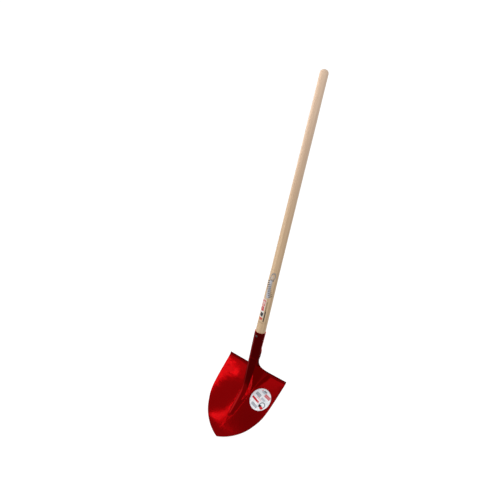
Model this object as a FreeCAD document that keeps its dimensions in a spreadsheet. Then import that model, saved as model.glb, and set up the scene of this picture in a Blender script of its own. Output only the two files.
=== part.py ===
import FreeCAD, Part
import math
import os
import re

import Sketcher
from FreeCAD import Placement, Rotation, Vector

# Long-handled round-point garden shovel: a one-piece pressed steel head on a turned wooden handle.
# The assembly's frame has +Z along the handle to its free end, the soil face of the blade to -Y, and its
# origin in the middle of the cylindrical grip at the free end. Lengths are millimetres, angles degrees.

DIMENSIONS = {
    # wooden handle, measured from the socket mouth up to the free end
    "handle_reach": 1092.0,
    "grip_length": 80.0,
    "grip_radius": 16.6,
    "grip_taper_length": 100.0,
    "end_round": 15.5,
    "shaft_radius": 17.2,
    "shaft_start": 700.0,
    "swell_start": 285.0,
    "swell_radius": 18.1,
    "tenon_length": 114.0,
    "tenon_chamfer": 3.0,
    "fit_clearance": 0.35,
    # steel head: sheet, socket and the bend between socket and blade
    "sheet_thickness": 2.0,
    "mouth_radius": 22.6,
    "neck_radius": 20.2,
    "seam_gap": 0.8,
    "ring_length": 72.0,
    "mouth_to_shoulder": 142.7,
    "lift_angle": 37.4,
    "axis_height": 68.5,
    "throat_start": 14.0,
    "throat_depth": 64.0,
    "throat_rise": 30.0,
    # blade and its dished floor
    "blade_length": 329.0,
    "blade_width": 286.5,
    "dish_depth": 13.0,
    "dish_station": 80.0,
    "tread_width": 7.5,
    "tread_angle": 38.0,
    # stiffening rib that continues the socket down the blade
    "rib_height": 25.0,
    "rib_station": 100.0,
    "rib_slope": 0.16,
    "rib_end": 232.0,
    "rib_fade": 30.0,
    "rib_crown_half": 4.5,
    "rib_crown_station": 125.0,
    "rib_foot_half": 9.5,
    "rib_foot_flare": 0.105,
    "neck_foot_flare": 18.0,
    "neck_length": 85.0,
    # fixing screw through the front of the socket
    "screw_drop": 17.0,
    "screw_head_radius": 4.6,
    "screw_head_height": 2.2,
    "screw_shank_radius": 2.3,
    "screw_length": 24.0,
    "screw_tip": 5.0,
    "screw_seat_depth": 0.5,
    "screw_clearance": 0.1,
    # printed films
    "blade_label_radius": 47.5,
    "blade_label_side": 79.5,
    "blade_label_drop": 112.0,
    "blade_label_thickness": 0.2,
    "handle_label_start": 45.0,
    "handle_label_length": 230.0,
    "handle_label_wrap": 140.0,
    "handle_label_thickness": 0.12,
}

doc = FreeCAD.newDocument("GardenShovel")
sheet = doc.addObject("Spreadsheet::Sheet", "Dimensions")
for row, (name, number) in enumerate(DIMENSIONS.items(), start=1):
    sheet.set(f"A{row}", name)
    sheet.set(f"B{row}", str(number))
    sheet.setAlias(f"B{row}", name)
doc.recompute()

# Formulas that more than one piece uses
MOUTH_DROP = "(handle_reach - end_round - grip_length / 2)"
BORE_SLOPE = "((mouth_radius - neck_radius) / mouth_to_shoulder)"
TENON_RADIUS = "(mouth_radius - sheet_thickness - fit_clearance)"
TENON_END_RADIUS = f"({TENON_RADIUS} - tenon_length * {BORE_SLOPE})"
SWELL_SLOPE = f"(({TENON_RADIUS} - swell_radius) / swell_start)"
SCREW_SEAT = f"(mouth_radius - screw_drop * {BORE_SLOPE} - screw_seat_depth)"


def named(formula):
    """Turn bare dimension names into references to the sheet's cells."""
    return re.sub(r"\b(" + "|".join(DIMENSIONS) + r")\b", r"Dimensions.\1", formula)


def value(formula):
    """The formula's number, for what is computed rather than bound."""
    return float(sheet.evalExpression(named(formula)))


def bind(target, **formulas):
    """Bind properties to formulas; a double underscore in a name stands for a dot."""
    for prop, formula in formulas.items():
        target.setExpression(prop.replace("__", "."), named(formula))


def seat_at_mouth(feature):
    bind(feature, Placement__Base__z=f"-{MOUTH_DROP}")


# ------------------------------------------------------------------------------- turned pieces

def turned_body(name, profile):
    """A body of revolution about the upright axis, from (radius, height) points given as formulas."""
    body = doc.addObject("PartDesign::Body", name)
    sketch = body.newObject("Sketcher::SketchObject", f"{name}_profile")
    plane = next(item for item in body.Origin.OriginFeatures if item.Role == "XZ_Plane")
    sketch.AttachmentSupport = [(plane, "")]
    sketch.MapMode = "FlatFace"

    places = [Vector(value(radius), value(height), 0) for radius, height in profile]
    count = len(profile)
    for index in range(count):
        following = (index + 1) % count
        sketch.addGeometry(Part.LineSegment(places[index], places[following]))
    for index in range(count):
        following = (index + 1) % count
        sketch.addConstraint(Sketcher.Constraint("Coincident", index, 2, following, 1))
    for index, formulas in enumerate(profile):
        for kind, axis, formula in zip(("DistanceX", "DistanceY"), (-2, -1), formulas):
            if formula == "0":
                sketch.addConstraint(Sketcher.Constraint("PointOnObject", index, 1, axis))
                continue
            tag = f"{kind}_{index}"
            held = Sketcher.Constraint(kind, -1, 1, index, 1, value(formula))
            sketch.renameConstraint(sketch.addConstraint(held), tag)
            sketch.setExpression(f"Constraints.{tag}", named(formula))

    turned = body.newObject("PartDesign::Revolution", f"{name}_turned")
    turned.Profile = sketch
    turned.ReferenceAxis = (sketch, ["V_Axis"])
    turned.Angle = 360
    doc.recompute()
    return body


def make_handle_blank():
    """Turned shaft: tenon, swell above the socket, slow taper and a cylindrical grip with a domed end."""
    grip_top = "(handle_reach - end_round)"
    grip_foot = f"({grip_top} - grip_length)"
    body = turned_body("handle_blank", [
        ("0", "-tenon_length"),
        (f"{TENON_END_RADIUS} - tenon_chamfer", "-tenon_length"),
        (TENON_END_RADIUS, "tenon_chamfer - tenon_length"),
        (TENON_RADIUS, "0"),
        ("swell_radius", "swell_start"),
        ("shaft_radius", "shaft_start"),
        ("shaft_radius", f"{grip_foot} - grip_taper_length"),
        ("grip_radius", grip_foot),
        ("grip_radius", "handle_reach"),
        ("0", "handle_reach"),
    ])
    turned = body.Tip
    rim = max(turned.Shape.Edges, key=lambda edge: (round(edge.BoundBox.ZMin, 3), edge.Length))
    number = 1 + [edge.isSame(rim) for edge in turned.Shape.Edges].index(True)
    dome = body.newObject("PartDesign::Fillet", "handle_dome")
    dome.Base = (turned, [f"Edge{number}"])
    bind(dome, Radius="end_round")
    doc.recompute()
    return body


def make_screw():
    """Round-head screw, driven in from the soil side square to the socket's axis."""
    body = turned_body("screw_blank", [
        ("0", "0 - screw_length"),
        ("screw_shank_radius", "screw_tip - screw_length"),
        ("screw_shank_radius", "0"),
        ("screw_head_radius", "0"),
        ("screw_head_radius", "screw_head_height * 0.35"),
        ("screw_head_radius * 0.62", "screw_head_height * 0.9"),
        ("screw_head_radius * 0.25", "screw_head_height"),
        ("0", "screw_head_height"),
    ])
    body.Placement = Placement(Vector(0, 0, 0), Rotation(Vector(1, 0, 0), 90))
    bind(body, Placement__Base__y=f"-{SCREW_SEAT}",
         Placement__Base__z=f"-{MOUTH_DROP} - screw_drop")
    return body


def cylinder(name, radius, height, **place):
    """A cylinder along -Y, with its radius, height and base place bound to formulas."""
    drill = doc.addObject("Part::Cylinder", name)
    drill.Placement = Placement(Vector(0, 0, 0), Rotation(Vector(1, 0, 0), 90))
    bind(drill, Radius=radius, Height=height, **place)
    return drill


def cut(name, base, *tools):
    """Take the tools away from the base, one after another."""
    for index, tool in enumerate(tools, start=1):
        result = doc.addObject("Part::Cut", name if index == len(tools) else f"{name}_step_{index}")
        result.Base = base
        result.Tool = tool
        base = result
    return base


# ----------------------------------------------------------------------------------- steel head
# The head is computed in the blade's own frame: origin in the middle of the top edge, +Z up the blade
# and the soil side to -Y. A station is a flat section of the sheet; "front" is the distance towards the
# soil side, and "drop" the distance below the top edge.

# Widths over which two curves of the sheet run into each other
CREST_BLEND = 5.0
FLANK_BLEND = 3.0
TREAD_BEND = 3.0
# The rib's flank turns at a share of the crest's height, never above the ceiling
FLANK_SHARE = 0.56
FLANK_CEILING = 0.86
# The tread begins at a share of the neck foot's half-width and is full after another share
TREAD_START = 0.55
TREAD_GROWTH = 0.4
# How flat the rib's crown is where it leaves the neck and further down, and where that change ends
CROWN_FLATNESS = (0.98, 0.6)
CROWN_CHANGE_END = 140.0
# Shares of the columns that reach the end of the crown and the end of the flank, on the blade
BLADE_SHARES = (0.26, 0.56)
# The fan of neck sections ends just above the top edge; the sheet spreads out late in it
FAN_END = 8.0
SPREAD_START = 0.25
OPENING_END = 0.8
# How finely the sheet's control net is laid out
HALF_COLUMNS = 30
RING_COUNT = 8
NECK_COUNT = 18
FIRST_STEP = 2.0
LAST_STEP = 7.0
STEP_GROWTH = 0.08
# The net runs past the outline by a margin, and the trimming solids past the net
TRIM_MARGIN = 14.0
TRIM_REACH = 400.0
THROAT_TOP = 0.8


def soft_max(first, second, width):
    return 0.5 * (first + second + math.sqrt((first - second) ** 2 + 4 * width ** 2))


def soft_step(amount):
    amount = min(max(amount, 0.0), 1.0)
    return amount * amount * (3 - 2 * amount)


def mix(first, second, share):
    return first + (second - first) * share


class Blade:
    """The sheet's middle profile and widths at each drop below the top edge."""

    def __init__(self):
        for name in DIMENSIONS:
            setattr(self, name, value(name))
        self.lift = math.radians(self.lift_angle)
        self.half_width = self.blade_width / 2

    def tube_radius(self, drop):
        along = self.mouth_to_shoulder + drop / math.cos(self.lift)
        taper = (self.mouth_radius - self.neck_radius) / self.mouth_to_shoulder
        return self.mouth_radius - taper * min(along, self.mouth_to_shoulder)

    def axis_front(self, drop):
        return self.axis_height - drop * math.tan(self.lift)

    def dish(self, drop):
        """Depth of the floor's middle behind the plane of the blade's edges."""
        span = self.blade_length - self.dish_station
        return self.dish_depth * max(0.0, 1 - ((drop - self.dish_station) / span) ** 2) ** 2

    def rise(self, across, drop):
        """How far the dished floor rises from its middle out to a place across the blade."""
        return self.dish(drop) * (across / self.half_width) ** 2

    def crest(self, drop):
        """The rib's crest: the socket's front line, run out into a low tapering rib."""
        floor = -self.dish(drop)
        tube = self.axis_front(drop) + self.tube_radius(drop) / math.cos(self.lift) - floor
        rib = self.rib_height - self.rib_slope * (drop - self.rib_station)
        fade = 1 - soft_step((drop - self.rib_end + self.rib_fade) / self.rib_fade)
        return floor + soft_max(tube, rib, CREST_BLEND) * fade

    def middle(self, drop):
        """Where the rib's flank turns from crown to foot: half-width and front."""
        floor = -self.dish(drop)
        spread = 1 + (max(drop, 0.0) / self.rib_crown_station) ** 4
        half = self.rib_crown_half + (self.tube_radius(drop) - self.rib_crown_half) / spread
        part_height = floor + FLANK_SHARE * (self.crest(drop) - floor)
        return half, min(soft_max(self.axis_front(drop), part_height, FLANK_BLEND),
                         mix(floor, self.crest(drop), FLANK_CEILING))

    def foot(self, drop):
        """Half-width of the rib where its flank has run out into the floor."""
        rib = self.rib_foot_half + self.rib_foot_flare * max(self.rib_end - drop, 0.0)
        return rib + self.neck_foot_flare * max(1 - drop / self.neck_length, 0.0) ** 2

    def tread(self, across, drop):
        """Forward turn of the sheet along the top edge, outside the neck."""
        bend = 0.5 * (self.tread_width - drop + math.hypot(self.tread_width - drop, TREAD_BEND))
        foot = self.foot(drop)
        fade = soft_step((abs(across) / foot - TREAD_START) / TREAD_GROWTH)
        return math.tan(math.radians(self.tread_angle)) * bend * fade


def conic(start, corner, end, turn, share):
    """A point on the conic arc between two tangent lines that meet at corner and turn by an angle."""
    weight = math.cos(turn / 2)
    first, second, third = (1 - share) ** 2, 2 * weight * share * (1 - share), share ** 2
    total = first + second + third
    return tuple((first * a + second * b + third * c) / total for a, b, c in zip(start, corner, end))


def section(column, crest, middle, foot, floor, edge, crown_slack, shares):
    """Half a section of the sheet: crown, flank down to the foot, then the wing out to its edge."""
    half, height = middle
    corner = (crown_slack * half, crest)
    crown_fall = max(crest - height, 1e-6)
    reach = half * (1 - crown_slack) / crown_fall
    turn = math.atan2(crown_fall, half * (1 - crown_slack))
    crown_share, flank_share = shares
    if column <= crown_share:
        return conic((0.0, crest), corner, (half, height), turn, column / crown_share)
    if column <= flank_share:
        low_corner = (min(half + reach * (height - floor), mix(half, max(foot, half), 0.75)), floor)
        share = (column - crown_share) / (flank_share - crown_share)
        return conic((half, height), low_corner, (foot, floor), turn, share)
    share = (column - flank_share) / (1 - flank_share)
    return mix(foot, edge, share), floor


def stations(blade):
    """Yield, for each station, a function from column (-1 to 1) to a point of the sheet's outer face."""
    sine, cosine = math.sin(blade.lift), math.cos(blade.lift)
    ring_shares = (0.5, 0.5 + 0.5 * (1 + blade.seam_gap / (math.pi * blade.neck_radius)))

    def on_axis(along):
        back = blade.mouth_to_shoulder - along
        return blade.axis_height + back * sine, back * cosine

    def point(across, front, height):
        return Vector(across, -front, height)

    def ring_point(column, along):
        radius = blade.tube_radius((along - blade.mouth_to_shoulder) * cosine)
        front, height = on_axis(along)
        across, out = section(abs(column), radius, (radius, 0.0), 0.0, -radius, 0.0, 1.0, ring_shares)
        return point(math.copysign(across, column), front + out * cosine, height - out * sine)

    ring_front, ring_height = on_axis(blade.ring_length)
    pivot = (ring_front + (ring_height - FAN_END) / sine * cosine, FAN_END)

    def neck_point(column, open_share):
        """Sections that fan about a pivot in front of the neck, from a closed ring to an open channel."""
        angle = blade.lift * (1 - open_share)
        slope = math.tan(angle)
        axis_slope = cosine / sine
        # the fan plane runs down towards the front: height falls by slope for each unit of front
        front = (pivot[1] + pivot[0] * slope + blade.axis_height * axis_slope) / (slope + axis_slope)
        height = pivot[1] + (pivot[0] - front) * slope
        radius = blade.tube_radius(-height)
        opening = soft_step(open_share / OPENING_END)
        crest = radius / math.cos(blade.lift - angle)
        floor = (-blade.dish(-FAN_END) - front) / math.cos(angle)
        spread = soft_step((open_share - SPREAD_START) / (1 - SPREAD_START))
        shares = tuple(mix(a, b, spread) for a, b in zip(ring_shares, BLADE_SHARES))
        foot = blade.foot(-FAN_END) * spread
        edge = (blade.half_width + TRIM_MARGIN) * spread
        across, out = section(abs(column), crest, (radius, 0.0), foot, mix(-radius, floor, opening),
                              edge, mix(1.0, CROWN_FLATNESS[0], opening), shares)
        out += (blade.rise(across, -FAN_END) + blade.tread(across, -FAN_END)) * spread
        return point(math.copysign(across, column), front + out * math.cos(angle),
                     height - out * math.sin(angle))

    def blade_point(column, drop):
        slack = mix(*CROWN_FLATNESS, soft_step(drop / CROWN_CHANGE_END))
        across, front = section(abs(column), blade.crest(drop), blade.middle(drop), blade.foot(drop),
                                -blade.dish(drop), blade.half_width + TRIM_MARGIN, slack, BLADE_SHARES)
        front += blade.rise(across, drop) + blade.tread(across, drop)
        return point(math.copysign(across, column), front, -drop)

    for index in range(RING_COUNT):
        yield lambda column, along=blade.ring_length * index / RING_COUNT: ring_point(column, along)
    for index in range(NECK_COUNT):
        yield lambda column, share=index / NECK_COUNT: neck_point(column, share)
    drop, step = -FAN_END, FIRST_STEP
    while drop < blade.blade_length + TRIM_MARGIN:
        yield lambda column, drop=drop: blade_point(column, drop)
        drop += step
        step = mix(step, LAST_STEP, STEP_GROWTH) if drop > blade.tread_width else step


def smooth_face(rows):
    """A cubic surface whose control net is the rows of points."""
    def knots(count):
        return list(range(count - 2)), [4] + [1] * (count - 4) + [4]

    down, down_mults = knots(len(rows))
    over, over_mults = knots(len(rows[0]))
    surface = Part.BSplineSurface()
    surface.buildFromPolesMultsKnots(rows, down_mults, over_mults, down, over, False, False, 3, 3)
    return surface.toShape()


def inner_rows(rows, thickness):
    """The same net, moved square to the sheet by its thickness, away from the soil side."""
    moved = []
    last_row, last_column = len(rows) - 1, len(rows[0]) - 1
    for i, row in enumerate(rows):
        new_row = []
        for j, place in enumerate(row):
            along = rows[min(i + 1, last_row)][j] - rows[max(i - 1, 0)][j]
            over = row[min(j + 1, last_column)] - row[max(j - 1, 0)]
            normal = along.cross(over)
            new_row.append(place - normal.normalize() * thickness)
        moved.append(new_row)
    return moved


def boundary(rows):
    """The four sides of a net, in the order they go round."""
    return rows[0], [row[-1] for row in rows], rows[-1], [row[0] for row in rows]


def make_sheet_solid(outer, inner):
    faces = [smooth_face(outer), smooth_face(inner)]
    for outer_side, inner_side in zip(boundary(outer), boundary(inner)):
        count = len(outer_side)
        surface = Part.BSplineSurface()
        surface.buildFromPolesMultsKnots([outer_side, inner_side], [2, 2], [4] + [1] * (count - 4) + [4],
                                         [0, 1], list(range(count - 2)), False, False, 1, 3)
        faces.append(surface.toShape())
    sewn = Part.makeShell(faces)
    sewn.sewShape()
    solid = Part.makeSolid(sewn.Shells[0] if sewn.ShapeType != "Shell" else sewn)
    if solid.Volume < 0:
        solid.reverse()
    return solid


def blade_outline(blade):
    """Closed outline of the blade: straight top edge, nearly straight sides, and a round-pointed foot."""
    side = [(1.0, 0.0), (0.991, 0.15), (0.981, 0.30), (0.96, 0.44), (0.918, 0.55), (0.834, 0.65),
            (0.708, 0.755), (0.52, 0.855), (0.295, 0.935), (0.0, 1.0)]
    right = [Vector(share * blade.half_width, 0, -fall * blade.blade_length) for share, fall in side]
    left = [Vector(-place.x, 0, place.z) for place in reversed(right)]
    edges = []
    for points in (right, left):
        curve = Part.BSplineCurve()
        curve.interpolate(points)
        edges.append(curve.toShape())
    edges.append(Part.makeLine(left[-1], right[0]))
    return Part.Face(Part.Wire(edges))


def make_throat(blade):
    """Side outline of what is kept above the top edge: the open throat's edge sweeps up to the seam."""
    def axis_place(along, behind):
        back = blade.mouth_to_shoulder - along
        front = blade.axis_height + back * math.sin(blade.lift) - behind * math.cos(blade.lift)
        return Vector(0, -front, back * math.cos(blade.lift) + behind * math.sin(blade.lift))

    start, depth, rise = blade.throat_start, blade.throat_depth, blade.throat_rise
    turns = [index * math.pi / 16 for index in range(9)]
    sweep = Part.BSplineCurve()
    sweep.interpolate([Vector(0, -start - depth * math.sin(turn), rise * (1 - math.cos(turn)))
                       for turn in turns])
    seam_foot = blade.ring_length - blade.sheet_thickness
    bore = blade.neck_radius - blade.sheet_thickness
    corners = [sweep.EndPoint, axis_place(seam_foot, bore * THROAT_TOP), axis_place(seam_foot, TRIM_REACH),
               Vector(0, -TRIM_REACH, TRIM_REACH), Vector(0, -TRIM_REACH, -TRIM_MARGIN),
               Vector(0, -start, -TRIM_MARGIN), sweep.StartPoint]
    edges = [sweep.toShape()]
    edges += [Part.makeLine(corners[i], corners[i + 1]) for i in range(len(corners) - 1)]
    return Part.Face(Part.Wire(edges))


def make_trim(blade):
    """What is kept of the sheet: the blade below its top edge, and the neck above it."""
    below = blade_outline(blade).extrude(Vector(0, 2 * TRIM_REACH, 0))
    below.translate(Vector(0, -TRIM_REACH, 0))
    half_neck = 1.5 * blade.foot(0.0)
    above = make_throat(blade).extrude(Vector(2 * half_neck, 0, 0))
    above.translate(Vector(-half_neck, 0, 0))
    return below.fuse(above)


def head_placement(feature):
    feature.Placement = Placement(Vector(0, 0, 0), Rotation(Vector(1, 0, 0), -value("lift_angle")))
    bind(feature,
         Placement__Base__y="axis_height * cos(lift_angle)",
         Placement__Base__z=f"-{MOUTH_DROP} - mouth_to_shoulder - axis_height * sin(lift_angle)")


def make_head(outer, blade):
    solid = make_sheet_solid(outer, inner_rows(outer, blade.sheet_thickness))
    head = doc.addObject("Part::Feature", "head_sheet")
    head.Shape = solid.common(make_trim(blade))
    head_placement(head)
    return head


def make_blade_label(outer, blade):
    """Round film on the right wing of the blade, lying on the curved face."""
    stamp = Part.makeCylinder(blade.blade_label_radius, 200.0,
                              Vector(blade.blade_label_side, 0, -blade.blade_label_drop), Vector(0, -1, 0))
    stamp.translate(Vector(0, 100.0, 0))
    patch = smooth_face(outer).common(stamp).Faces[0]
    label = doc.addObject("Part::Feature", "blade_label")
    label.Shape = patch.extrude(Vector(0, -blade.blade_label_thickness, 0))
    head_placement(label)
    return label


def make_handle_label():
    """Printed film wrapped round the front of the handle above the socket."""
    film = doc.addObject("Part::Cone", "handle_label_film")
    core = doc.addObject("Part::Cone", "handle_label_core")
    low = f"({TENON_RADIUS} - handle_label_start * {SWELL_SLOPE})"
    high = f"({TENON_RADIUS} - (handle_label_start + handle_label_length) * {SWELL_SLOPE})"
    for cone, skin in ((film, " + handle_label_thickness"), (core, "")):
        bind(cone, Radius1=low + skin, Radius2=high + skin, Height="handle_label_length",
             Placement__Base__z=f"-{MOUTH_DROP} + handle_label_start")
    bind(film, Angle="handle_label_wrap", Placement__Rotation__Angle="-90 - handle_label_wrap / 2")
    return cut("handle_label", film, core)


# -------------------------------------------------------------------------------------- assembly

blade = Blade()
columns = [index / HALF_COLUMNS for index in range(-HALF_COLUMNS, HALF_COLUMNS + 1)]
outer_net = [[place(column) for column in columns] for place in stations(blade)]

SCREW_LEVEL = f"-{MOUTH_DROP} - screw_drop"
pilot = cylinder("screw_pilot", "screw_shank_radius", "screw_length",
                 Placement__Base__y=f"screw_length - {SCREW_SEAT}", Placement__Base__z=SCREW_LEVEL)
clearance = cylinder("screw_clearance_hole", "screw_shank_radius + screw_clearance", "mouth_radius",
                     Placement__Base__y="0", Placement__Base__z=SCREW_LEVEL)
spot_face = cylinder("screw_spot_face", "screw_head_radius + screw_clearance", "mouth_radius",
                     Placement__Base__y=f"-{SCREW_SEAT}", Placement__Base__z=SCREW_LEVEL)

handle_blank = make_handle_blank()
seat_at_mouth(handle_blank)

parts = {
    "handle": cut("handle", handle_blank, pilot),
    "shovel_head": cut("shovel_head", make_head(outer_net, blade), clearance, spot_face),
    "fixing_screw": make_screw(),
    "blade_label": make_blade_label(outer_net, blade),
    "handle_label": make_handle_label(),
}
doc.recompute()

for feature in doc.Objects:
    if {"Invalid", "Error"} & set(feature.State):
        raise RuntimeError(f"{feature.Name} failed: {feature.State}")
os.makedirs("parts", exist_ok=True)
for node, feature in parts.items():
    feature.Label = node
    if feature.Shape.isNull() or not feature.Shape.isValid() or not feature.Shape.Solids:
        raise RuntimeError(f"{node} has no valid solid")
    feature.Shape.exportStep(f"parts/{node}.step")
    print(node, len(feature.Shape.Solids), round(feature.Shape.Volume, 1))
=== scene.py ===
import math

import bpy
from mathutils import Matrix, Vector
from mathutils.bvhtree import BVHTree


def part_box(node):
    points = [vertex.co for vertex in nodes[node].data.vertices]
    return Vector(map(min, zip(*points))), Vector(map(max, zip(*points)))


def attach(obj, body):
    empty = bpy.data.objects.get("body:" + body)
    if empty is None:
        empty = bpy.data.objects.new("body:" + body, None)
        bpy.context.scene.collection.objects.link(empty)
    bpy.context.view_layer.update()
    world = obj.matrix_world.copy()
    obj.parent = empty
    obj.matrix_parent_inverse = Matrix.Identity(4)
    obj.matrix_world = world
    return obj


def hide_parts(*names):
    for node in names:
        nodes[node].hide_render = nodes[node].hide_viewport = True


# Looks for the long-handled garden shovel: lacquered steel head, turned wooden handle, fixing
# screw, round sticker on the blade and a small print on the handle. Metres; +Z runs up the
# handle, the soil side of the blade faces -Y, and +X is to the right of somebody who looks at
# the soil side.

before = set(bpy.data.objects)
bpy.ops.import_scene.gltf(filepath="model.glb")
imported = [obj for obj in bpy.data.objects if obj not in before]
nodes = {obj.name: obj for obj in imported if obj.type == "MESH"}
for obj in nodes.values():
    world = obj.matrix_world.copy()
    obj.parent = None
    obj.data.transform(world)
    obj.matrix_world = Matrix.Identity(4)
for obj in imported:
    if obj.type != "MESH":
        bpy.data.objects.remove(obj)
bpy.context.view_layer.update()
mouth = Vector((0.0, 0.0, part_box("shovel_head")[1].z))
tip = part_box("shovel_head")[0].z

# ------------------------------------------------------------------------------- camera

CAMERA_AZIMUTH = 31.41
CAMERA_ELEVATION = 22.85
CAMERA_ROLL = 13.20
CAMERA_DISTANCE = 4.5
CAMERA_LENS = 81.0
SENSOR = 36.0
AIM_SIDE = -0.0424
AIM_UP = 0.3248


def direction(azimuth, elevation):
    """Unit vector towards a place round the object; azimuth 0 is the soil side, +90 is +X."""
    side, lift = math.radians(azimuth), math.radians(elevation)
    flat = math.cos(lift)
    return Vector((math.sin(side) * flat, -math.cos(side) * flat, math.sin(lift)))


def pose(obj, place, right, up, back):
    """Stand an object at a place with its own X, Y and Z along the three directions given."""
    rotation = obj.matrix_world.to_3x3()
    for column, axis in enumerate((right, up, back)):
        for row in range(3):
            rotation[row][column] = axis[row]
    obj.matrix_world = rotation.to_4x4()
    obj.location = place


def add_camera():
    back = direction(CAMERA_AZIMUTH, CAMERA_ELEVATION)
    level = Vector((0, 0, 1)).cross(back).normalized()
    upright = back.cross(level)
    roll = math.radians(CAMERA_ROLL)
    right = level * math.cos(roll) + upright * math.sin(roll)
    up = upright * math.cos(roll) - level * math.sin(roll)
    data = bpy.data.cameras.new("camera")
    data.lens, data.sensor_width = CAMERA_LENS, SENSOR
    camera = bpy.data.objects.new("camera", data)
    bpy.context.scene.collection.objects.link(camera)
    target = mouth + right * AIM_SIDE + up * AIM_UP
    pose(camera, target + back * CAMERA_DISTANCE, right, up, back)
    bpy.context.scene.camera = camera


# ------------------------------------------------------------------------- node helpers

class Nodes:
    """Short calls that add nodes to a material's or the world's tree."""

    def __init__(self, tree):
        self.tree = tree
        tree.nodes.clear()

    def add(self, kind, **settings):
        node = self.tree.nodes.new("ShaderNode" + kind)
        for name, setting in settings.items():
            setattr(node, name, setting)
        return node

    def feed(self, socket, source):
        if isinstance(source, bpy.types.NodeSocket):
            self.tree.links.new(source, socket)
        elif source is not None:
            socket.default_value = source

    def math(self, operation, first, second=None, third=None):
        node = self.add("Math", operation=operation)
        for socket, source in zip(node.inputs, (first, second, third)):
            self.feed(socket, source)
        return node.outputs[0]

    def ramp(self, source, low, high, from_value=0.0, to_value=1.0):
        """Smooth step of a value between low and high."""
        node = self.add("MapRange", interpolation_type="SMOOTHSTEP")
        sources = (source, low, high, from_value, to_value)
        for name, entry in zip(("Value", "From Min", "From Max", "To Min", "To Max"), sources):
            self.feed(node.inputs[name], entry)
        return node.outputs[0]

    def mix(self, share, first, second):
        node = self.add("Mix", data_type="RGBA")
        self.feed(node.inputs["Factor"], share)
        self.feed(node.inputs[6], first)
        self.feed(node.inputs[7], second)
        return node.outputs[2]

    def noise(self, vector, scale, detail=2.0, roughness=0.5):
        node = self.add("TexNoise")
        self.feed(node.inputs["Vector"], vector)
        self.feed(node.inputs["Scale"], scale)
        self.feed(node.inputs["Detail"], detail)
        self.feed(node.inputs["Roughness"], roughness)
        return node.outputs[0]

    def stretched(self, vector, x, y, z):
        node = self.add("Mapping")
        self.feed(node.inputs["Vector"], vector)
        node.inputs["Scale"].default_value = (x, y, z)
        return node.outputs[0]

    def bump(self, height, distance, strength=1.0):
        node = self.add("Bump")
        self.feed(node.inputs["Height"], height)
        node.inputs["Distance"].default_value = distance
        node.inputs["Strength"].default_value = strength
        return node.outputs[0]


def material(name, build):
    """A material whose surface is one Principled shader, set up by build(kit, shader, place)."""
    made = bpy.data.materials.new(name)
    made.use_nodes = True
    kit = Nodes(made.node_tree)
    output = kit.add("OutputMaterial")
    shader = kit.add("BsdfPrincipled")
    place = kit.add("TexCoord").outputs["Object"]
    build(kit, shader, place)
    kit.feed(output.inputs["Surface"], shader.outputs[0])
    return made


# ---------------------------------------------------------------------------- materials

def red_lacquer(kit, shader, place):
    """Candy lacquer over bright metal: fine flakes, faint orange peel, slightly uneven gloss."""
    flakes = kit.noise(place, 5200.0, 0.0)
    cloud = kit.noise(place, 9.0, 3.0)
    smears = kit.noise(kit.stretched(place, 30.0, 30.0, 8.0), 1.0, 4.0, 0.6)
    tone = kit.mix(kit.ramp(flakes, 0.35, 0.75), (0.70, 0.001, 0.003, 1), (0.86, 0.003, 0.006, 1))
    tone = kit.mix(kit.ramp(cloud, 0.3, 0.7, 0.0, 0.25), tone, (0.62, 0.001, 0.003, 1))
    kit.feed(shader.inputs["Base Color"], tone)
    kit.feed(shader.inputs["Roughness"], kit.ramp(smears, 0.25, 0.8, 0.075, 0.10))
    shader.inputs["Metallic"].default_value = 1.0
    shader.inputs["Coat Weight"].default_value = 0.05
    shader.inputs["Coat Roughness"].default_value = 0.04
    peel = kit.noise(place, 420.0, 1.0)
    kit.feed(shader.inputs["Normal"], kit.bump(peel, 0.000006))


def wood_colour(kit, place):
    """Colour, pore mask and streaks of pale straight-grained wood; grain along Z, darker and warmer
    towards the bottom.
    """
    rings = kit.noise(kit.stretched(place, 95.0, 95.0, 1.6), 1.0, 3.0, 0.55)
    streaks = kit.noise(kit.stretched(place, 620.0, 620.0, 9.0), 1.0, 3.0, 0.6)
    pores = kit.noise(kit.stretched(place, 1500.0, 1500.0, 45.0), 1.0, 2.0, 0.6)
    cloud = kit.noise(kit.stretched(place, 14.0, 14.0, 2.2), 1.0, 2.0)
    split = kit.add("SeparateXYZ")
    kit.feed(split.inputs[0], place)
    # Towards the bottom of the handle the wood colour turns darker and warmer.
    warmer_darker_below = kit.ramp(split.outputs[2], -0.15, -0.80)
    light = kit.mix(warmer_darker_below, (0.78, 0.585, 0.435, 1), (0.74, 0.530, 0.325, 1))
    dark = kit.mix(warmer_darker_below, (0.64, 0.450, 0.315, 1), (0.57, 0.385, 0.220, 1))
    tone = kit.mix(kit.ramp(rings, 0.30, 0.70), dark, light)
    tone = kit.mix(kit.ramp(streaks, 0.42, 0.72, 0.0, 0.35), tone, (0.50, 0.325, 0.195, 1))
    tone = kit.mix(kit.ramp(cloud, 0.35, 0.75, 0.0, 0.25), tone, (0.80, 0.600, 0.450, 1))
    pore_mask = kit.ramp(pores, 0.62, 0.74)
    tone = kit.mix(kit.math("MULTIPLY", pore_mask, 0.35), tone, (0.33, 0.20, 0.12, 1))
    return tone, pore_mask, streaks


def wood_gloss(kit, shader, pores, streaks):
    """Satin surface with the grain standing slightly proud of the pores."""
    kit.feed(shader.inputs["Roughness"], kit.ramp(streaks, 0.3, 0.7, 0.36, 0.52))
    height = kit.math("SUBTRACT", streaks, pores)
    kit.feed(shader.inputs["Normal"], kit.bump(height, 0.00006, 0.6))


def sanded_wood(kit, shader, place):
    tone, pores, streaks = wood_colour(kit, place)
    kit.feed(shader.inputs["Base Color"], tone)
    wood_gloss(kit, shader, pores, streaks)


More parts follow.
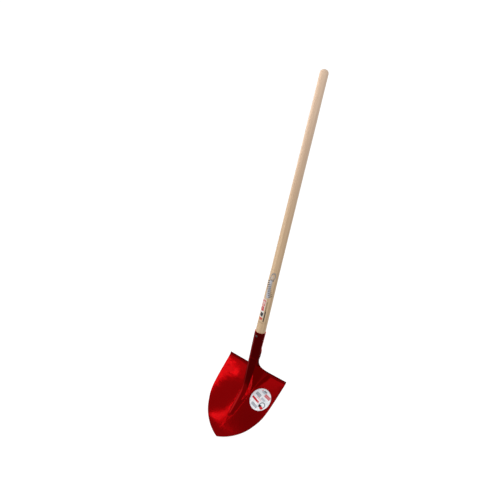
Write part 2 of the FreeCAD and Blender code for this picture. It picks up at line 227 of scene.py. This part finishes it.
def zinc_steel(kit, shader, place):
    """Dull zinc-plated steel with fine spots."""
    spots = kit.noise(place, 900.0, 3.0)
    kit.feed(shader.inputs["Base Color"],
             kit.mix(spots, (0.30, 0.28, 0.27, 1), (0.46, 0.44, 0.42, 1)))
    kit.feed(shader.inputs["Roughness"], kit.ramp(spots, 0.3, 0.7, 0.22, 0.42))
    shader.inputs["Metallic"].default_value = 1.0
    kit.feed(shader.inputs["Normal"], kit.bump(spots, 0.00002))


INK_EDGE = 0.3
MM = 1000


class Print:
    """Ink masks drawn in a film's own flat coordinates (the UV map, in millimetres)."""

    def __init__(self, kit):
        self.kit = kit
        uv = kit.add("UVMap", uv_map="film")
        split = kit.add("SeparateXYZ")
        kit.feed(split.inputs[0], uv.outputs[0])
        self.x, self.y = split.outputs[0], split.outputs[1]

    def local(self, centre, turn):
        """Coordinates about a centre, turned anticlockwise by an angle in degrees."""
        kit = self.kit
        cosine, sine = math.cos(math.radians(turn)), math.sin(math.radians(turn))
        dx = kit.math("SUBTRACT", self.x, centre[0])
        dy = kit.math("SUBTRACT", self.y, centre[1])
        along = kit.math("ADD", kit.math("MULTIPLY", dx, cosine), kit.math("MULTIPLY", dy, sine))
        across = kit.math("SUBTRACT",
                          kit.math("MULTIPLY", dy, cosine), kit.math("MULTIPLY", dx, sine))
        return along, across

    def block(self, centre, size, turn=0.0):
        """A rectangle of the given length and height."""
        kit = self.kit
        along, across = self.local(centre, turn)
        inside = [kit.math("SUBTRACT", full / 2, kit.math("ABSOLUTE", offset))
                  for full, offset in zip(size, (along, across))]
        return kit.ramp(kit.math("MINIMUM", *inside), -INK_EDGE, INK_EDGE)

    def oval(self, centre, size, turn=0.0, hollow=0.0):
        """A filled oval, or a ring where hollow is the width of its line."""
        kit = self.kit
        along, across = self.local(centre, turn)
        squares = [kit.math("POWER", kit.math("DIVIDE", offset, full / 2), 2.0)
                   for full, offset in zip(size, (along, across))]
        reach = kit.math("MULTIPLY", kit.math("SQRT", kit.math("ADD", *squares)), min(size) / 2)
        outside = kit.math("SUBTRACT", reach, min(size) / 2)
        if hollow:
            outside = kit.math("SUBTRACT", kit.math("ABSOLUTE", outside), hollow / 2)
        return kit.ramp(outside, INK_EDGE, -INK_EDGE)

    def lines(self, centre, size, count, turn=0.0):
        """A block of fine parallel lines that stands for a passage of small print."""
        kit = self.kit
        along, across = self.local(centre, turn)
        wave = kit.math("SINE", kit.math("MULTIPLY", across, 2 * math.pi * count / size[1]))
        return kit.math("MULTIPLY", self.block(centre, size, turn), kit.ramp(wave, 0.0, 0.5))


WHITE = (0.88, 0.89, 0.92, 1)
SILVER = (0.50, 0.52, 0.58, 1)
GREY = (0.24, 0.25, 0.28, 1)
BLACK = (0.02, 0.02, 0.025, 1)
RED = (0.62, 0.02, 0.03, 1)
PINK = (0.72, 0.33, 0.36, 1)
PAPER = (0.80, 0.77, 0.74, 1)


def sticker_film(kit, shader, place):
    """Glossy silvery sticker with generic coloured blocks and lines."""
    ink = Print(kit)
    sheen = kit.noise(place, 45.0, 3.0)
    tone = kit.mix(kit.ramp(sheen, 0.35, 0.65), WHITE, (0.76, 0.78, 0.83, 1))
    for mask, colour in (
        (ink.block((-2, 33), (20, 10), -12), SILVER),
        (ink.block((3, 37), (15, 6), -12), GREY),
        (ink.block((-12, 38), (6, 6), -12), PINK),
        (ink.block((23, 22), (32, 14), -14), PINK),
        (ink.lines((24, 22), (30, 13), 2, -14), RED),
        (ink.block((-20, 14), (28, 10), -16), SILVER),
        (ink.lines((-20, 14), (26, 15), 3, -16), GREY),
        (ink.block((11, 5), (22, 9), -14), SILVER),
        (ink.lines((-8, 3), (26, 8), 2, -16), PINK),
        (ink.block((-20, -8), (40, 8), -18), RED),
        (ink.lines((-1, -15), (20, 7), 2, -18), PINK),
        (ink.block((-12, -31), (32, 10), -16), SILVER),
        (ink.lines((-12, -31), (34, 13), 3, -16), GREY),
        (ink.oval((21, -18), (24, 24), hollow=4.5), GREY),
        (ink.block((13, -24), (14, 10), -8), BLACK),
        (ink.oval((23, -29), (17, 12), -10), RED),
    ):
        tone = kit.mix(mask, tone, colour)
    rim = ink.oval((0, 0), (2 * STICKER_RADIUS * MM - 2,) * 2, hollow=1.2)
    tone = kit.mix(kit.math("MULTIPLY", rim, 0.5), tone, SILVER)
    kit.feed(shader.inputs["Base Color"], tone)
    kit.feed(shader.inputs["Roughness"], kit.ramp(sheen, 0.3, 0.7, 0.22, 0.34))
    kit.feed(shader.inputs["Normal"], kit.bump(sheen, 0.0004, 0.5))


def printed_wood(kit, shader, place):
    """The handle's own wood with generic ink marks: an oval, stripes, bright blocks and lines."""
    ink = Print(kit)
    tone, pores, streaks = wood_colour(kit, place)
    worn = kit.ramp(streaks, 0.75, 0.45)
    for mask, colour in (
        (ink.oval((7, 205), (19, 31), -14, hollow=4.5), GREY),
        (ink.oval((6, 203), (7, 14), -14), SILVER),
        (ink.block((9, 188), (9, 5), 30), BLACK),
        (ink.block((3, 150), (17, 78), 2), SILVER),
        (ink.lines((3, 150), (17, 78), 9, 22), BLACK),
        (ink.block((9, 150), (3, 74), 2), GREY),
        (ink.block((-7, 76), (22, 58)), PAPER),
        (ink.block((-7, 88), (18, 26)), RED),
        (ink.block((-7, 62), (17, 20), 6), RED),
        (ink.oval((-6, 87), (8, 12), hollow=2.5), PAPER),
        (ink.block((-4, 36), (20, 22)), PAPER),
        (ink.block((-4, 37), (15, 17), -8), BLACK),
        (ink.block((-4, 18), (15, 9)), RED),
        (ink.block((10, 74), (2.2, 44)), BLACK),
        (ink.block((11, 30), (4.5, 46)), BLACK),
    ):
        tone = kit.mix(kit.math("MULTIPLY", mask, worn), tone, colour)
    kit.feed(shader.inputs["Base Color"], tone)
    wood_gloss(kit, shader, pores, streaks)


def dress(obj, finish):
    """Give every slot of an object's mesh the same finish."""
    if not obj.material_slots:
        obj.data.materials.append(finish)
    for entry in obj.material_slots:
        entry.material = finish


# -------------------------------------------------------------------------------- films

FILM_LIFT = 0.00022
FILM_DIP = 0.00010
RAY_RUN = 0.1


def film(name, node, target, rays, flat, finish):
    """A thin closed film laid on a CAD surface. rays[i][j] is (start, direction) and flat[i][j] the
    film's own coordinates in millimetres."""
    tree = BVHTree.FromPolygons([v.co for v in target.data.vertices],
                                [p.vertices for p in target.data.polygons])
    rows, columns = len(rays), len(rays[0])
    top, low = [], []
    for row in rays:
        for start, aim in row:
            hit = tree.ray_cast(start, aim)[0]
            top.append(hit - aim * FILM_LIFT)
            low.append(hit + aim * FILM_DIP)
    faces = []
    for i in range(rows - 1):
        for j in range(columns - 1):
            corner = [i * columns + j, i * columns + j + 1, (i + 1) * columns + j + 1,
                      (i + 1) * columns + j]
            faces.append(corner)
            faces.append([index + rows * columns for index in reversed(corner)])
    rim = (list(range(columns)) + [i * columns + columns - 1 for i in range(1, rows)]
           + [(rows - 1) * columns + j for j in reversed(range(columns - 1))]
           + [i * columns for i in reversed(range(1, rows - 1))])
    for index, start in enumerate(rim):
        end = rim[(index + 1) % len(rim)]
        faces.append([end, start, start + rows * columns, end + rows * columns])
    mesh = bpy.data.meshes.new(name)
    mesh.from_pydata(top + low, [], faces)
    mesh.polygons.foreach_set("use_smooth", [True] * len(faces))
    layer = mesh.uv_layers.new(name="film")
    places = [place for row in flat for place in row] * 2
    for loop in mesh.loops:
        layer.data[loop.index].uv = places[loop.vertex_index]
    mesh.validate()
    piece = bpy.data.objects.new(name, mesh)
    bpy.context.scene.collection.objects.link(piece)
    dress(piece, finish)
    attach(piece, "root")
    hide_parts(node)
    return piece


sticker_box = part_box("blade_label")
STICKER_RADIUS = (sticker_box[1].x - sticker_box[0].x) / 2
STICKER_CELLS = 44


def square_to_disc(u, v):
    """Map the square -1..1 onto the unit disc, so that a plain grid makes a round film."""
    return u * math.sqrt(1 - v * v / 2), v * math.sqrt(1 - u * u / 2)


def add_sticker():
    low, high = sticker_box
    centre = (low + high) / 2
    up = Vector((0, high.y - low.y, high.z - low.z)).normalized()
    right = Vector((1, 0, 0))
    aim = up.cross(right)
    rays, flat = [], []
    for i in range(STICKER_CELLS + 1):
        row, flat_row = [], []
        for j in range(STICKER_CELLS + 1):
            u, v = square_to_disc(2 * j / STICKER_CELLS - 1, 1 - 2 * i / STICKER_CELLS)
            start = centre + (right * u + up * v) * STICKER_RADIUS - aim * RAY_RUN
            row.append((start, aim))
            flat_row.append((u * STICKER_RADIUS * MM, v * STICKER_RADIUS * MM))
        rays.append(row)
        flat.append(flat_row)
    return film("blade_sticker", "blade_label", nodes["shovel_head"], rays, flat,
                material("sticker_film", sticker_film))


PRINT_SPAN = 75.0
PRINT_SHARE = 0.93
PRINT_ROWS, PRINT_COLUMNS = 60, 28


def add_print():
    """The print's coordinates run PRINT_SPAN degrees each way from the soil side; the film itself
    covers PRINT_SHARE of that, which keeps it inside the CAD label."""
    low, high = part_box("handle_label")
    radius = high.x
    rays, flat = [], []
    for i in range(PRINT_ROWS + 1):
        height = high.z + (low.z - high.z) * i / PRINT_ROWS
        row, flat_row = [], []
        for j in range(PRINT_COLUMNS + 1):
            turn = -PRINT_SPAN + 2 * PRINT_SPAN * j / PRINT_COLUMNS
            out = direction(turn * PRINT_SHARE, 0)
            row.append((Vector((0, 0, height)) + out * RAY_RUN, -out))
            flat_row.append((math.radians(turn) * radius * MM, (height - low.z) * MM))
        rays.append(row)
        flat.append(flat_row)
    return film("handle_print", "handle_label", nodes["handle"], rays, flat,
                material("printed_wood", printed_wood))


# ----------------------------------------------------------------------- studio and light

HEAD_MIDDLE = 0.6
KEY_DISTANCE = 2.0
KEY_SIZE = 0.9
KEY_AIM = Vector((0, 0, -0.05))
MIRROR_DISTANCE = 40.0
DIFFUSE_DOME = 0.72
BRIGHT_SIDE = 0.95
FLOOR_REACH = 40.0
FLOOR_GLOW = 0.93


def softbox(name, azimuth, elevation, distance, width, height, radiance, roll=0.0, aim_at=None):
    """An area light that faces a place on the tool, turned by roll degrees about its own axis.
    With no place given it faces the head and is seen only in reflections, which is what the
    lacquer shows; otherwise it lights only diffuse surfaces, the wood and the prints."""
    data = bpy.data.lights.new(name, "AREA")
    data.shape = "RECTANGLE"
    data.size, data.size_y = width, height
    data.energy = radiance * math.pi * width * height
    lamp = bpy.data.objects.new(name, data)
    bpy.context.scene.collection.objects.link(lamp)
    lamp.visible_camera = False
    lamp.visible_glossy = aim_at is None
    lamp.visible_diffuse = aim_at is not None
    back = direction(azimuth, elevation)
    level = Vector((0, 0, 1)).cross(back).normalized()
    turn = math.radians(roll)
    right = level * math.cos(turn) + back.cross(level) * math.sin(turn)
    centre = aim_at or mouth.lerp(Vector((0, 0, tip)), HEAD_MIDDLE)
    pose(lamp, centre + back * distance, right, back.cross(right), back)


def mirror_box(name, azimuth, elevation, wide, high, radiance, roll=0.0):
    """A softbox far away, given by the angles in degrees that it fills as seen from the head."""
    width, height = (2 * MIRROR_DISTANCE * math.tan(math.radians(angle / 2))
                     for angle in (wide, high))
    softbox(name, azimuth, elevation, MIRROR_DISTANCE, width, height, radiance, roll)


def add_world():
    """White to the camera. Diffuse surfaces see an even dome; reflections see a studio that is
    bright behind and to the left and dim in front, with a soft glow high on the left."""
    world = bpy.data.worlds.new("studio")
    bpy.context.scene.world = world
    world.use_nodes = True
    kit = Nodes(world.node_tree)
    output = kit.add("OutputWorld")
    split = kit.add("SeparateXYZ")
    heading = kit.add("TexCoord").outputs["Generated"]
    kit.feed(split.inputs[0], heading)
    x, y, z = split.outputs
    below = kit.ramp(z, 0.0, -0.25)
    turn = kit.math("MULTIPLY_ADD", below, 0.55, 0.2)
    behind = kit.ramp(y, turn, kit.math("ADD", turn, 0.2))
    behind = kit.math("MULTIPLY", behind, kit.ramp(x, -0.2, 0.4, 1.0, 0.5))
    left = kit.math("MULTIPLY", kit.ramp(x, -0.72, -0.85, 0.0, 0.55),
                    kit.ramp(below, 0.0, 1.0, 1.0, 0.3))
    middle = kit.add("VectorMath", operation="DOT_PRODUCT")
    kit.feed(middle.inputs[0], heading)
    middle.inputs[1].default_value = direction(-16.7, 35.5)
    dim = kit.ramp(z, -0.48, -0.36, 0.075, 0.195)
    front = kit.ramp(middle.outputs["Value"], 0.961, 0.974, dim, 0.275)
    bright = kit.math("MAXIMUM", left, behind)
    glossy = kit.math("ADD", kit.math("MULTIPLY", bright, BRIGHT_SIDE),
                      kit.math("MULTIPLY", kit.math("SUBTRACT", 1.0, bright), front))
    light_path = kit.add("LightPath")
    diffuse = light_path.outputs["Is Diffuse Ray"]
    level = kit.math("ADD", kit.math("MULTIPLY", diffuse, DIFFUSE_DOME),
                     kit.math("MULTIPLY", glossy, kit.math("SUBTRACT", 1.0, diffuse)))
    seen = light_path.outputs["Is Camera Ray"]
    studio, plain = kit.add("Background"), kit.add("Background")
    kit.feed(studio.inputs["Strength"], level)
    plain.inputs["Color"].default_value = (1, 1, 1, 1)
    studio.inputs["Color"].default_value = (1, 1, 1, 1)
    choose = kit.add("MixShader")
    kit.feed(choose.inputs[0], seen)
    kit.feed(choose.inputs[1], studio.outputs[0])
    kit.feed(choose.inputs[2], plain.outputs[0])
    kit.feed(output.inputs["Surface"], choose.outputs[0])


def pale_floor(kit, shader, place):
    mottle = kit.noise(place, 3.0, 3.0)
    kit.feed(shader.inputs["Base Color"],
             kit.mix(mottle, (0.14, 0.14, 0.14, 1), (0.16, 0.16, 0.16, 1)))
    shader.inputs["Roughness"].default_value = 0.9
    shader.inputs["Emission Color"].default_value = (1, 1, 1, 1)
    shader.inputs["Emission Strength"].default_value = FLOOR_GLOW


def add_floor():
    reach = FLOOR_REACH
    mesh = bpy.data.meshes.new("floor")
    mesh.from_pydata([(-reach, -reach, tip), (reach, -reach, tip), (reach, reach, tip),
                      (-reach, reach, tip)], [], [(0, 1, 2, 3)])
    floor = bpy.data.objects.new("floor", mesh)
    bpy.context.scene.collection.objects.link(floor)
    dress(floor, material("pale_floor", pale_floor))
    floor.visible_glossy = False
    floor.visible_diffuse = False


# --------------------------------------------------------------------------------- build

dress(nodes["shovel_head"], material("red_lacquer", red_lacquer))
dress(nodes["handle"], material("sanded_wood", sanded_wood))
dress(nodes["fixing_screw"], material("zinc_steel", zinc_steel))
add_sticker()
add_print()

add_camera()
add_world()
add_floor()
for name, azimuth, elevation, radiance in (
    ("key_left", -80, 5, 9.5),
    ("key_front", -15, 20, 5.7),
):
    softbox(name, azimuth, elevation, KEY_DISTANCE, KEY_SIZE, KEY_SIZE, radiance, aim_at=KEY_AIM)
# name, azimuth, elevation, width and height (all in degrees), radiance, roll
for mirrored in (
    ("wing_box", -13.0, 40.5, 13.2, 1.1, 1.35, 15),
    ("band_strip", -36.6, 46.9, 1.0, 15.5, 1.4, 22.6),
    ("right_box", -43.5, 28.4, 14.0, 8.2, 0.22, 20),
    ("broad_box", -18.0, 35.3, 13.5, 7.2, 0.17, -4.5),
):
    mirror_box(*mirrored)
bpy.context.scene.view_settings.view_transform = "Standard"
